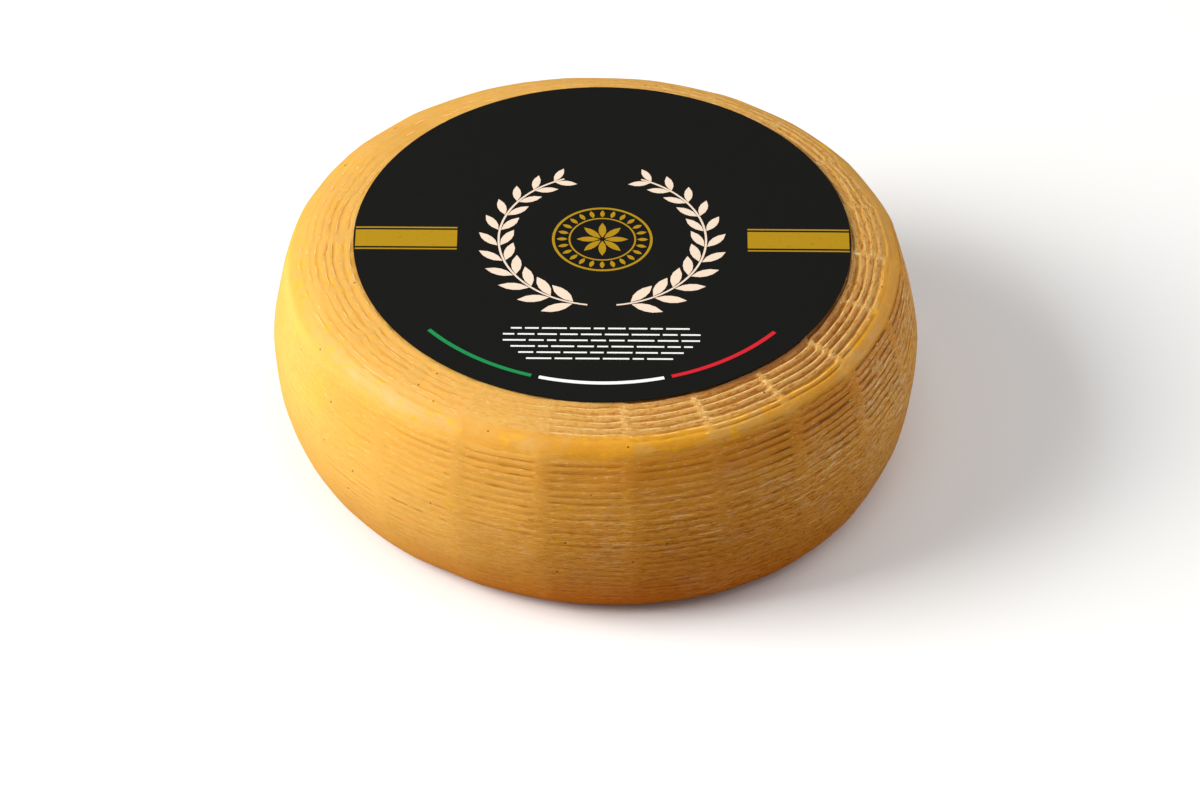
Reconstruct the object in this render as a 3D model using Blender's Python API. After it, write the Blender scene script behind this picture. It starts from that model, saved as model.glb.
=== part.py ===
"""A whole aged pecorino: a ridged wheel of cheese with a round paper label on its top face.

The wheel is turned from its outer line, then marked as a basket mould marks it: the basket's
upright ribs leave plain bands, and its wires leave steps on the top ring and grooves round the
wall. The wheel leans a little and isn't quite round, as a cheese turned by hand is.

Metres, +Z up. The origin is the middle of the base, under the middle of the wheel's box.
The front is -Y.
"""

from math import atan2, cos, hypot, pi, radians, sin

import bmesh
import bpy

# The label and the flat face under it
LABEL_RADIUS = 0.0840
LABEL_THICKNESS = 0.0004
LABEL_GAP = 0.0003
LABEL_SIDES = 96
WHEEL_TOP = 0.0793
# The label was laid on by hand, a little to the right of the wheel's axis and behind it.
LABEL_OFFSET = (0.0011, 0.0022)

# The wheel's outer line, as (radius, height) from the rim of the flat top down to the base
OUTER_LINE = (
    (0.0800, WHEEL_TOP),
    (0.0840, 0.0792),
    (0.0880, 0.0790),
    (0.0920, 0.0785),
    (0.0956, 0.0775),
    (0.0988, 0.0759),
    (0.1014, 0.0736),
    (0.1034, 0.0704),
    (0.1049, 0.0656),
    (0.1069, 0.0560),
    (0.1086, 0.0450),
    (0.1084, 0.0325),
    (0.1061, 0.0200),
    (0.1016, 0.0080),
    (0.0970, 0.0022),
    (0.0916, 0.0),
)

# How far the wheel is from a true round. The lean is the top's shift along X from the base.
LEAN = -0.0029
OVAL = 0.0120
THREE_LOBES_AT_BASE = -0.0150

# The basket's upright ribs
RIBS = 22
RIB_PITCH = 2 * pi / RIBS
FIRST_RIB_ANGLE = radians(-83.3)
RIB_HALF_WIDTH = radians(1.3)
PANEL_START = radians(2.5)

# Its wires. Places are distances down the outer line from the rim of the flat top.
RIDGE_PITCH = 0.00285
CREST_AFTER_GROOVE = 0.35 * RIDGE_PITCH
STEPS_ON_TOP = 6
FIRST_STEP = 0.0025
STEP_DEPTH = 0.0009
GROOVES_ON_WALL = 17
FIRST_GROOVE = 0.0247
GROOVE_DEPTH = 0.0006
# Between these two the grooves die out towards the base.
GROOVES_FADE_FROM = 0.0450
GROOVES_FADE_TO = 0.0720

# The marks are sharp on the right, and half smoothed away by oiling on the left.
SHARPEST_ANGLE = radians(-35)
LEAST_SHARPNESS = 0.35

# Rows of faces round the plain shoulder and round the plain foot
SHOULDER_ROWS = 4
FOOT_ROWS = 6

# From one rib to the next there are four columns of points: the rib's two edges, where nothing
# is cut, then the panel's two ends.
COLUMNS = (-RIB_HALF_WIDTH, RIB_HALF_WIDTH, PANEL_START, RIB_PITCH - PANEL_START)
CUT_COLUMNS = (2, 3)

RIND_COLOUR = (0.69, 0.40, 0.10, 1.0)
RIND_ROUGHNESS = 0.45
LABEL_COLOUR = (0.012, 0.012, 0.011, 1.0)
LABEL_ROUGHNESS = 0.6
SHARP_EDGE_ANGLE = radians(30)


def clear_scene():
    for obj in list(bpy.data.objects):
        bpy.data.objects.remove(obj, do_unlink=True)


def plain_material(name, colour, roughness):
    material = bpy.data.materials.new(name)
    material.use_nodes = True
    shader = material.node_tree.nodes["Principled BSDF"]
    shader.inputs["Base Color"].default_value = colour
    shader.inputs["Roughness"].default_value = roughness
    shader.inputs["Metallic"].default_value = 0.0
    material.diffuse_color = colour
    return material


def as_object(bm, name, material):
    mesh = bpy.data.meshes.new(name)
    bm.to_mesh(mesh)
    bm.free()
    mesh.materials.append(material)
    mesh.shade_smooth()
    mesh.set_sharp_from_angle(angle=SHARP_EDGE_ANGLE)
    obj = bpy.data.objects.new(name, mesh)
    bpy.context.scene.collection.objects.link(obj)
    return obj


def smooth_between(before, start, end, after, t):
    """One coordinate of a Catmull-Rom curve, at t from start to end."""
    slope_at_start = (end - before) / 2
    slope_at_end = (after - start) / 2
    return (
        (2 * t**3 - 3 * t**2 + 1) * start
        + (t**3 - 2 * t**2 + t) * slope_at_start
        + (3 * t**2 - 2 * t**3) * end
        + (t**3 - t**2) * slope_at_end
    )


class SmoothLine:
    """A smooth curve through guide points, read by the distance along it from its first point."""

    PARTS_BETWEEN_GUIDES = 40
    SLOPE_REACH = 0.0005

    def __init__(self, guide):
        padded = (guide[0], *guide, guide[-1])
        self.points = [guide[0]]
        for i in range(1, len(guide)):
            four = padded[i - 1 : i + 3]
            for part in range(1, self.PARTS_BETWEEN_GUIDES + 1):
                t = part / self.PARTS_BETWEEN_GUIDES
                self.points.append(tuple(smooth_between(*axis, t) for axis in zip(*four)))
        self.along = [0.0]
        for (r0, z0), (r1, z1) in zip(self.points, self.points[1:]):
            self.along.append(self.along[-1] + hypot(r1 - r0, z1 - z0))
        self.length = self.along[-1]

    def at(self, distance):
        """The radius and height at this distance."""
        end = next((i for i, d in enumerate(self.along) if d >= distance and i), len(self.along) - 1)
        share = (distance - self.along[end - 1]) / (self.along[end] - self.along[end - 1])
        (r0, z0), (r1, z1) = self.points[end - 1], self.points[end]
        return r0 + share * (r1 - r0), z0 + share * (z1 - z0)

    def inward(self, distance):
        """The unit vector from the line into the cheese, as its radius and height parts."""
        r0, z0 = self.at(max(distance - self.SLOPE_REACH, 0.0))
        r1, z1 = self.at(min(distance + self.SLOPE_REACH, self.length))
        size = hypot(r1 - r0, z1 - z0)
        return (z1 - z0) / size, (r0 - r1) / size


def groove_strength(distance):
    """1 where the wall's grooves are whole, 0 where they have died out."""
    share = (distance - GROOVES_FADE_FROM) / (GROOVES_FADE_TO - GROOVES_FADE_FROM)
    return 1 - min(max(share, 0.0), 1.0)


def plain_rows(start, end, count):
    """Rows of points between two places, without the first, with nothing cut."""
    return [(start + i * (end - start) / count, 0.0) for i in range(1, count + 1)]


def rows_of(line):
    """Each row of points round the wheel, as its place on the line and its depth of cut."""
    rows = [(0.0, 0.0)]
    for i in range(STEPS_ON_TOP):
        groove = FIRST_STEP + i * RIDGE_PITCH
        rows.append((groove, STEP_DEPTH))
        rows.append((groove + CREST_AFTER_GROOVE, 0.0))
    rows += plain_rows(rows[-1][0], FIRST_GROOVE, SHOULDER_ROWS)[:-1]
    for i in range(GROOVES_ON_WALL):
        groove = FIRST_GROOVE + i * RIDGE_PITCH
        rows.append((groove, GROOVE_DEPTH * groove_strength(groove)))
        rows.append((groove + CREST_AFTER_GROOVE, 0.0))
    rows += plain_rows(rows[-1][0], line.length, FOOT_ROWS)
    return rows


def sharpness(angle):
    """How much of a mark's depth is left at this angle round the wheel."""
    share = (1 + cos(angle - SHARPEST_ANGLE)) / 2
    return LEAST_SHARPNESS + (1 - LEAST_SHARPNESS) * share


def uneven(radius, height, angle):
    """Where a point of a true round goes once the wheel leans and is out of round."""
    level = height / WHEEL_TOP
    lobes = THREE_LOBES_AT_BASE * (1 - level)
    reach = radius * (1 + OVAL * cos(2 * angle) + lobes * cos(3 * angle))
    return LEAN * (level - 0.5) + reach * cos(angle), reach * sin(angle), height


def turned_blank(line, rows, steps):
    """The outer line spun round Z, with each point's row number kept on it."""
    bm = bmesh.new()
    row_number = bm.verts.layers.int.new("row")
    wire = []
    for number, (distance, _) in enumerate(rows):
        radius, height = line.at(distance)
        vert = bm.verts.new((radius, 0.0, height))
        vert[row_number] = number
        wire.append(vert)
    edges = [bm.edges.new(pair) for pair in zip(wire, wire[1:])]
    bmesh.ops.spin(
        bm,
        geom=wire + edges,
        cent=(0, 0, 0),
        axis=(0, 0, 1),
        angle=2 * pi,
        steps=steps,
        use_merge=True,
    )
    return bm


def mark_with_basket(bm, line, rows, steps):
    """Moves each point to its column's angle and cuts the steps and grooves between the ribs."""
    row_number = bm.verts.layers.int["row"]
    for vert in bm.verts:
        column = round(atan2(vert.co.y, vert.co.x) / (2 * pi / steps)) % steps
        rib, place = divmod(column, len(COLUMNS))
        angle = FIRST_RIB_ANGLE + rib * RIB_PITCH + COLUMNS[place]
        distance, depth = rows[vert[row_number]]
        radius, height = line.at(distance)
        if place in CUT_COLUMNS:
            inward_r, inward_z = line.inward(distance)
            radius += depth * sharpness(angle) * inward_r
            height += depth * sharpness(angle) * inward_z
        vert.co = uneven(radius, height, angle)


def close_ring(bm, height):
    """Fills the open ring of edges at this height with one flat face."""
    ring = [e for e in bm.edges if e.is_boundary and abs(e.verts[0].co.z - height) < 1e-6]
    bmesh.ops.contextual_create(bm, geom=ring)


def make_wheel():
    line = SmoothLine(OUTER_LINE)
    rows = rows_of(line)
    steps = RIBS * len(COLUMNS)
    bm = turned_blank(line, rows, steps)
    mark_with_basket(bm, line, rows, steps)
    close_ring(bm, WHEEL_TOP)
    close_ring(bm, 0.0)
    bmesh.ops.recalc_face_normals(bm, faces=bm.faces)
    return as_object(bm, "wheel", plain_material("rind", RIND_COLOUR, RIND_ROUGHNESS))


def make_label():
    bm = bmesh.new()
    bmesh.ops.create_cone(
        bm,
        cap_ends=True,
        segments=LABEL_SIDES,
        radius1=LABEL_RADIUS,
        radius2=LABEL_RADIUS,
        depth=LABEL_THICKNESS,
    )
    paper = plain_material("label paper", LABEL_COLOUR, LABEL_ROUGHNESS)
    label = as_object(bm, "label", paper)
    label.location = (*LABEL_OFFSET, WHEEL_TOP + LABEL_GAP + LABEL_THICKNESS / 2)
    return label


def centre_over_origin(wheel, label):
    """Moves both so that the middle of the wheel's box is over the origin."""
    xs = [vert.co.x for vert in wheel.data.vertices]
    ys = [vert.co.y for vert in wheel.data.vertices]
    for obj in (wheel, label):
        obj.location.x -= (min(xs) + max(xs)) / 2
        obj.location.y -= (min(ys) + max(ys)) / 2


clear_scene()
centre_over_origin(make_wheel(), make_label())
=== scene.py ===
# %% [markdown]
# # A whole aged pecorino
#
# The object is a wheel of sheep's cheese, 22 cm across and 8 cm tall, with a round black paper
# label on its top face. Its solids are already built and packed: `wheel` and `label`. This
# lesson dresses them. The wheel gets the fine ridges of its basket mould and an oiled, stained
# rind, and the label gets its paper edge and its print.
#
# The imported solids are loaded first, because the sizes and places below start from them.

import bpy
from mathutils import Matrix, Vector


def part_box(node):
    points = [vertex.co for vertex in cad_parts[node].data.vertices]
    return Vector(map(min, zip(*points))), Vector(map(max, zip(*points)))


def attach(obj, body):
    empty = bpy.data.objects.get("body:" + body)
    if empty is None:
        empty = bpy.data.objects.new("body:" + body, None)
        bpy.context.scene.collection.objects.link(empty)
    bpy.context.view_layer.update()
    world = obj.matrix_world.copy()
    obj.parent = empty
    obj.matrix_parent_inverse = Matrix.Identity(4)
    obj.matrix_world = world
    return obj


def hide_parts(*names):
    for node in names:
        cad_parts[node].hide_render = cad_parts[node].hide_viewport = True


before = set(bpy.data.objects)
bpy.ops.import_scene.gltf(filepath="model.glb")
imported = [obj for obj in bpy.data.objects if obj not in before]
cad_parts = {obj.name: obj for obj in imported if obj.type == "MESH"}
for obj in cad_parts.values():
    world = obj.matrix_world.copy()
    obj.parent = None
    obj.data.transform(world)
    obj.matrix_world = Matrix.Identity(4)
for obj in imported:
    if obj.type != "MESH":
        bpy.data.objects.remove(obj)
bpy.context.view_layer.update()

# %% [markdown]
# Blender counts in metres, but a cheese is easier to think of in millimetres, so sizes are
# written as a number times `MM`. The label's solid gives the label's radius and middle, and the
# wheel's own axis is found from those.

# %% Blender's modules, the unit, and the places that the solids give
from math import atan2, cos, pi, radians, sin, tau

import bmesh
import bpy
import numpy as np
from mathutils import Matrix, Vector, noise

MM = 0.001

wheel_low, wheel_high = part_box("wheel")
label_low, label_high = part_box("label")
LABEL_RADIUS = (label_high.x - label_low.x) / 2
label_middle = (label_low + label_high) / 2
label_middle.z = 0
# The label was laid on by hand, so the wheel's own axis is a little to its left and in front.
LABEL_OFFSET = Vector((1.1 * MM, 2.2 * MM, 0.0))
wheel_axis = label_middle - LABEL_OFFSET
print("wheel", [round(v / MM, 1) for v in wheel_high - wheel_low], "mm, label radius", LABEL_RADIUS)

# %% [markdown]
# ## Helpers that every piece shares
#
# Each piece is shaped as a bmesh and then turned into an object that sits at the origin, with
# its place in its mesh. A finished piece is joined to the body that carries it, and the solid
# that it stands for is hidden. Round pieces start as a wire of points that is spun round the Z
# axis.

# %% Wires, spins and finished pieces
SHARP_EDGE = radians(50)
NEARLY_FULL_TURN = tau - 0.001


def add_object(name, data):
    """A new object at the origin, linked to the scene."""
    made = bpy.data.objects.new(name, data)
    bpy.context.scene.collection.objects.link(made)
    return made


def make_object(name, bm, material):
    """An object of a bmesh, which is used up."""
    mesh = bpy.data.meshes.new(name)
    bm.to_mesh(mesh)
    bm.free()
    mesh.materials.append(material)
    return add_object(name, mesh)


def make_piece(name, bm, material, stands_for=None):
    """Makes a smooth-shaded object of the bmesh and joins it to the frame."""
    piece = make_object(name, bm, material)
    mesh = piece.data
    mesh.shade_smooth()
    mesh.set_sharp_from_angle(angle=SHARP_EDGE)
    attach(piece, "root")
    if stands_for:
        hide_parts(stands_for)
    size = [round((max(axis) - min(axis)) / MM, 1) for axis in zip(*piece.bound_box)]
    print(f"{name}: {size} mm, {sum(len(p.vertices) - 2 for p in mesh.polygons)} triangles")


def make_wire(bm, points):
    """A row of points joined by edges, as the list that `spin` turns."""
    verts = [bm.verts.new(point) for point in points]
    return verts + [bm.edges.new(pair) for pair in zip(verts, verts[1:])]


def spin(bm, wire, steps, angle=tau):
    """Turns a wire round the Z axis. The two ends of a full turn are joined."""
    full = abs(angle) > NEARLY_FULL_TURN
    bmesh.ops.spin(
        bm, geom=wire, cent=(0, 0, 0), axis=(0, 0, 1), angle=angle, steps=steps, use_merge=full
    )


def smooth_step(value, low, high):
    """0 below low, 1 above high, and an S-shaped rise between."""
    share = min(max((value - low) / (high - low), 0.0), 1.0)
    return share * share * (3 - 2 * share)


# %% [markdown]
# ## The wheel's outline
#
# A cheese is close to a turned shape: flat on top, rolled over at the shoulder, full at the
# waist and tucked in at the foot. Half of its cross-section is enough, as (radius, height)
# points. A smooth curve runs through them. It could be a curve object, but the ridges
# are spaced by the distance along the rind, so the curve is read by that distance instead.

# %% The outline, read by the distance along the rind
OUTLINE = MM * np.array(
    [
        (80.0, 79.3), (84.0, 79.2), (88.0, 79.0), (92.0, 78.5), (95.6, 77.5), (98.8, 75.9),
        (101.4, 73.6), (103.4, 70.4), (104.9, 65.6), (106.9, 56.0), (108.6, 45.0), (108.4, 32.5),
        (106.1, 20.0), (101.6, 8.0), (97.0, 2.2), (91.6, 0.0),
    ]
)
# The flat top and the flat base carry on inwards from the outline's two ends.
TOP_HOLE = 40 * MM
BASE_HOLE = 10 * MM


def smooth_curve(guide, parts=40):
    """Points of a Catmull-Rom curve through the guide points."""
    padded = np.vstack([guide[:1], guide, guide[-1:]])
    t = np.arange(parts)[:, None] / parts
    spans = []
    for before, start, end, after in zip(padded, padded[1:], padded[2:], padded[3:]):
        slopes = (t**3 - 2 * t**2 + t) * (end - before) / 2 + (t**3 - t**2) * (after - start) / 2
        spans.append((2 * t**3 - 3 * t**2 + 1) * start + (3 * t**2 - 2 * t**3) * end + slopes)
    return np.vstack([*spans, guide[-1:]])


section = np.vstack(
    [(TOP_HOLE, OUTLINE[0, 1]), smooth_curve(OUTLINE), (BASE_HOLE, OUTLINE[-1, 1])]
)
section_along = np.concatenate([[0], np.cumsum(np.hypot(*np.diff(section, axis=0).T))])
# Distances are counted from the rim of the flat top, which is the outline's first point.
section_along -= section_along[1]
RIND_END = section_along[-2]


def section_at(along):
    """The radius and height at a distance down the rind."""
    return [np.interp(along, section_along, section[:, axis]) for axis in (0, 1)]


def into_cheese(along, reach=0.6 * MM):
    """The direction from the rind into the cheese, as its radius and height parts."""
    r0, z0 = section_at(along - reach)
    r1, z1 = section_at(along + reach)
    size = np.hypot(r1 - r0, z1 - z0)
    return (z1 - z0) / size, (r0 - r1) / size


def rise(along, span):
    """0 above a span of the rind and 1 below it. A span is in mm down the rind."""
    return smooth_step(along, span[0] * MM, span[1] * MM)


def in_zone(along, zone):
    """1 inside a zone, given in mm as (starts, is whole, starts to fade, has faded)."""
    return rise(along, zone[:2]) * (1 - rise(along, zone[2:]))


print("rind from the top's rim to the base:", round(RIND_END / MM, 1), "mm")

# %% [markdown]
# ## Rows of points from the top to the base
#
# The basket's wires press a row of small terraces into the top ring and thin grooves into the
# wall. A terrace is a wave with a steep inner side, a bright crest and a long outer slope. A
# groove is a narrow cut between broad, even lands. Points are placed where those waves turn, so
# few rows draw them crisply: evenly spaced rows would need three times as many. A basket's floor
# leaves a few wide rings too, so the base gets those.

# %% Ridges, as rows of points
PITCH = 2.85 * MM
RING_FIRST = -0.35 * MM
RING_RIDGES = 7
RING_DEPTH = 0.95 * MM
WALL_FIRST = 24.7 * MM
WALL_RIDGES = 24
WALL_DEPTH = 0.5 * MM
BASE_FIRST = RIND_END + 6 * MM
BASE_PITCH = 8.5 * MM
BASE_RIDGES = 8
BASE_DEPTH = 0.35 * MM
# One ridge, as (share of the pitch, share of the depth that is cut away)
RING_WAVE = (
    (0.0, 1.0), (0.09, 0.55), (0.17, 0.08), (0.25, 0.0), (0.42, 0.16), (0.6, 0.32), (0.8, 0.85),
)
WALL_WAVE = ((0.0, 1.0), (0.14, 0.72), (0.27, 0.25), (0.5, 0.05), (0.82, 0.0))
BASE_WAVE = ((0.0, 1.0), (0.35, 0.0), (0.7, 0.0))
# A cut this shallow belongs to a crest.
CREST_CUT = 0.05


def ridge_rows(kind, first, pitch, ridges, wave):
    """Each row as (zone, ridge number, distance down the rind, share of the depth cut away)."""
    return [
        (kind, ridge, first + (ridge + place) * pitch, cut)
        for ridge in range(ridges)
        for place, cut in wave
    ]


def plain_rows(start, end, count):
    """Rows with nothing cut, between two distances and without either."""
    step = (end - start) / (count + 1)
    return [("plain", 0, start + step * (i + 1), 0.0) for i in range(count)]


ring_rows = ridge_rows("ring", RING_FIRST, PITCH, RING_RIDGES, RING_WAVE)
wall_rows = ridge_rows("wall", WALL_FIRST, PITCH, WALL_RIDGES, WALL_WAVE)
base_rows = ridge_rows("base", BASE_FIRST, BASE_PITCH, BASE_RIDGES, BASE_WAVE)
rows = [("plain", 0, section_along[0], 0.0), *plain_rows(section_along[0], RING_FIRST, 3)]
rows += ring_rows
rows += plain_rows(ring_rows[-1][2], WALL_FIRST, 6)
rows += wall_rows
rows += plain_rows(wall_rows[-1][2], RIND_END, 5)
rows += [("plain", 0, RIND_END, 0.0), *plain_rows(RIND_END, BASE_FIRST, 2)]
rows += base_rows
rows += [("plain", 0, section_along[-1], 0.0)]
print(len(rows), "rows of points")

# %% [markdown]
# ## Columns of points round the wheel
#
# The mould has 22 upright ribs. They leave plain bands, and the cheese between two of them is a
# nearly flat panel. In each panel the ridges start at their own height, bow a little and
# differ in depth. So each panel draws its own numbers, from one seeded generator.

# %% Ribs and panels
RIBS = 22
RIB_PITCH = tau / RIBS
FIRST_RIB = radians(-83.3)
COLUMNS_PER_PANEL = 20
COLUMNS = RIBS * COLUMNS_PER_PANEL
# Columns crowd at the ribs, where the ridges end, and spread in the panels.
CROWDING = 0.3

draw = np.random.default_rng(7)
panel_ring_shift = draw.uniform(-0.42, 0.42, RIBS) * PITCH
panel_wall_shift = draw.uniform(-0.3, 0.3, RIBS) * PITCH
panel_tilt = draw.uniform(-0.45, 0.45, RIBS) * MM
panel_bow = draw.uniform(0.2, 0.8, RIBS) * MM
panel_force = draw.uniform(0.85, 1.1, RIBS)
ridge_force = draw.uniform(0.75, 1.15, (RIBS, WALL_RIDGES))
ridge_shift = draw.uniform(-0.3, 0.3, (RIBS, WALL_RIDGES)) * MM
# How plainly each rib crosses the ring: 1 is a bare seam, 0 is none at all.
rib_force = draw.uniform(0.5, 1.0, RIBS)


def column_place(column):
    """The rib before a column, and the column's angle from it."""
    rib, step = divmod(column, COLUMNS_PER_PANEL)
    share = step / COLUMNS_PER_PANEL
    return rib, RIB_PITCH * (share - CROWDING * sin(tau * share) / tau)


def nearest_rib(from_rib):
    """The angle to the nearest rib, always positive."""
    return min(from_rib, RIB_PITCH - from_rib)


def near_rib(from_rib, whole, gone):
    """1 within an angle of the nearest rib, and 0 past a wider one. Both are in degrees."""
    return 1 - smooth_step(nearest_rib(from_rib), radians(whole), radians(gone))


print(COLUMNS, "columns of points, panels start", (panel_ring_shift[:4] / MM).round(2), "mm apart")

# %% [markdown]
# ## How deep the marks are
#
# The ridges are sharp on the right and half smoothed away by oil and handling on the left. On
# the right the wall's grooves are deepest just under the roll, and all of them die out above the
# foot. A few (angle, strength) pairs say how that changes round the wheel. They are read with
# linear interpolation, and noise breaks the evenness up. A painted mask could do it too, but
# numbers are easier to adjust.

# %% Strength of the marks, by angle and by height
RING_STRENGTH = (
    (-180, 0.25), (-140, 0.27), (-124, 0.24), (-108, 0.2), (-92, 0.6), (-75, 0.72), (-59, 1.05),
    (-42, 1.45), (-26, 1.3), (-10, 0.75), (7, 0.4), (40, 0.4), (90, 0.2), (140, 0.15), (180, 0.25),
)
# The wall's grooves just under the roll
WALL_STRENGTH = (
    (-180, 0.04), (-141, 0.06), (-124, 0.22), (-108, 0.75), (-92, 0.4), (-75, 0.3), (-59, 0.55),
    (-42, 1.4), (-26, 1.4), (-10, 1.9), (7, 1.2), (60, 0.5), (120, 0.3), (180, 0.04),
)
# The same grooves far down the wall
LOW_STRENGTH = (
    (-180, 0.1), (-141, 0.14), (-124, 0.1), (-108, 0.08), (-92, 0.25), (-75, 0.46), (-59, 0.36),
    (-42, 0.16), (-26, 0.18), (-10, 0.3), (7, 0.3), (60, 0.3), (120, 0.2), (180, 0.1),
)
# How broken the ridges are along their length, and how far in mm they wander from an even line
BROKEN = (
    (-180, 2.2), (-120, 1.6), (-95, 0.7), (-75, 0.45), (-45, 0.3), (-10, 0.5), (90, 1.6), (180, 2.2),
)
WANDER = ((-180, 0.5), (-125, 0.45), (-105, 0.3), (-60, 0.18), (30, 0.2), (120, 0.3), (180, 0.4))
# How rough the rind's skin is, and how much smoother it is on the wall just under the roll
ROUGH = (
    (-180, 0.0), (-125, 0.1), (-105, 0.35), (-85, 0.7), (-60, 1.0), (20, 1.0), (60, 0.6), (110, 0.2),
    (180, 0.0),
)
CALM_WALL = ((-180, 0.5), (-92, 0.7), (-59, 0.75), (-45, 0.2), (0, 0.1), (60, 0.3), (180, 0.5))
# Spans and zones of the rind, in mm down it
RING_LEVELS_OFF = (10, 20)
FIRST_GROOVES = (24, 29)
HIGH_TO_LOW = (30, 64)
WALL_DIES_OUT = (86, 96)
ROLL_ZONE = (16, 19, 23, 26)
CALM_ZONE = (19, 24, 34, 58)
# The share of their depth that the ring's last ridges lose and the wall's first grooves keep,
# and how far the smooth roll loses its streaks
RING_LOSS = 0.45
FIRST_GROOVES_KEEP = 0.45
CALM_ROLL = 0.85
# Angles from a rib between which the ring's seam fades, and between which a groove gets deep,
# and how ragged both are
RING_SEAM = (radians(0.2), radians(1.4))
GROOVE_END = (radians(0.7), radians(2.1))
RAGGED_END = radians(0.4)
# How fast noise changes round the wheel: noise units for each radian
BREAK_PACE = 27


def by_angle(pairs, angle):
    """A value read from (degrees, value) pairs at an angle in radians."""
    degrees, values = zip(*pairs)
    return np.interp((np.degrees(angle) + 180) % 360 - 180, degrees, values)


def crossing_force(rib, from_rib):
    """How plain the nearest rib's crossing of the ring is."""
    return rib_force[rib if from_rib < RIB_PITCH / 2 else (rib + 1) % RIBS]


def softened(cut, pitches, angle):
    """The cut of a crisp terrace, or of a round wave where oil has softened the ring."""
    crisp = smooth_step(by_angle(RING_STRENGTH, angle), 0.0, 0.5)
    round_cut = 0.5 + 0.5 * cos(tau * pitches)
    return round_cut + (cut - round_cut) * crisp


def cut_depth(zone, ridge, angle, rib, from_rib, along):
    """How deep a full cut is at this place."""
    if zone == "plain":
        return 0.0
    gaps = noise.noise((rib * 7.3, ridge * 3.1, angle * BREAK_PACE))
    uneven = max(1 + by_angle(BROKEN, angle) * gaps, 0.0)
    if zone == "base":
        return BASE_DEPTH * uneven
    to_end = nearest_rib(from_rib) + RAGGED_END * noise.noise((rib * 3.7, ridge * 5.3, 4.0))
    own = ridge_force[rib, ridge]
    if zone == "ring":
        ends = 1 - crossing_force(rib, from_rib) * (1 - smooth_step(to_end, *RING_SEAM))
        own = 0.4 + 0.6 * own
        strength = by_angle(RING_STRENGTH, angle) * (1 - RING_LOSS * rise(along, RING_LEVELS_OFF))
        return RING_DEPTH * strength * panel_force[rib] * own * ends * uneven
    ends = smooth_step(to_end, *GROOVE_END)
    high, low = by_angle(WALL_STRENGTH, angle), by_angle(LOW_STRENGTH, angle)
    strength = high + (low - high) * rise(along, HIGH_TO_LOW)
    strength *= FIRST_GROOVES_KEEP + (1 - FIRST_GROOVES_KEEP) * rise(along, FIRST_GROOVES)
    fading = 1 - rise(along, WALL_DIES_OUT)
    return WALL_DEPTH * strength * panel_force[rib] * own * ends * uneven * fading


def streakiness(along, angle):
    """How strongly the basket's threads show as fine streaks here."""
    calm_wall = by_angle(CALM_WALL, angle) * in_zone(along, CALM_ZONE)
    calm = max(calm_wall, CALM_ROLL * in_zone(along, ROLL_ZONE))
    return by_angle(ROUGH, angle) * (1 - calm)


for degrees in (-140, -75, -30):
    depths = [cut_depth("wall", 3, radians(degrees), 0, RIB_PITCH / 2, mm * MM) for mm in (35, 70)]
    print(f"grooves at {degrees} degrees:", [round(depth / MM, 2) for depth in depths], "mm deep")

# %% [markdown]
# ## How the wheel departs from a true round
#
# The wheel leans a little, is slightly oval, and has three soft lobes at its base. The panels
# are flatter than the circle. These are the rules that the solid was built by, so the piece
# keeps the solid's form. The ring and the upper wall lie a little deeper than the smooth roll
# between them, and there are soft dents and swellings a finger wide. Both only ever go inwards,
# so that the piece stays inside its solid.

# %% Out of round, flat panels, soft dents
LEAN = -2.9 * MM
OVAL = 0.012
THREE_LOBES_AT_BASE = -0.015
# How flat the panels are: the share of its radius that a panel's middle lacks
FLATNESS = (
    (-180, 0.002), (-125, 0.002), (-100, 0.0036), (60, 0.0041), (85, 0.0035), (110, 0.0025),
    (180, 0.002),
)
DENT_SIZE = 16 * MM
DENT_DEPTH = 0.55 * MM
WRINKLE_SIZE = 5 * MM
WRINKLE_DEPTH = 0.14 * MM
# Patterns are laid out on a cylinder of this radius.
MAP_RADIUS = 105 * MM
# How much deeper than the roll its neighbours lie, how ragged the step is, and where it is
STEP_IN = 0.45 * MM
STEP_RAGGED = 0.9 * MM
RING_STEP = (3, 8, 16.5, 19.5)
WALL_STEP_FROM = (23.5, 26.5)
WALL_STEP_TO = (30, 58)
# Where the rows drift with the ring's panels and with the wall's panels
RING_DRIFT = (-4, 0, 18, 23.5)
WALL_DRIFT = (19, 24.5, 70, 95)
# How far from a rib the drift starts to turn into the next panel's
DRIFT_CROSSING = radians(1.1)
WOBBLE_LENGTH = 4 * MM
# The dents and wrinkles start and end this far inside the rind.
DENTS_INSET = 6 * MM


def uneven_round(radius, height, angle):
    """Where a point of a true round goes, round the wheel's own axis."""
    level = height / wheel_high.z
    lobes = THREE_LOBES_AT_BASE * (1 - level)
    reach = radius * (1 + OVAL * cos(2 * angle) + lobes * cos(3 * angle))
    flat = Vector((LEAN * (level - 0.5) + reach * cos(angle), reach * sin(angle), height))
    return flat + wheel_axis


def flattened(from_rib, angle):
    """The share of its radius that a point keeps, because its panel is flatter than a circle."""
    across = (2 * from_rib / RIB_PITCH - 1) ** 2
    return 1 - by_angle(FLATNESS, angle) * (1 - across) ** 1.5


def beside_roll(along, angle):
    """How far the ring and the wall under the roll lie below the roll's own skin."""
    ragged = along + STEP_RAGGED * noise.noise((angle * 16, 7.0, 3.0))
    on_wall = rise(ragged, WALL_STEP_FROM) * (1 - rise(along, WALL_STEP_TO))
    sharp = smooth_step(by_angle(RING_STRENGTH, angle), 0.3, 0.8)
    return STEP_IN * (in_zone(ragged, RING_STEP) + on_wall) * sharp


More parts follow.
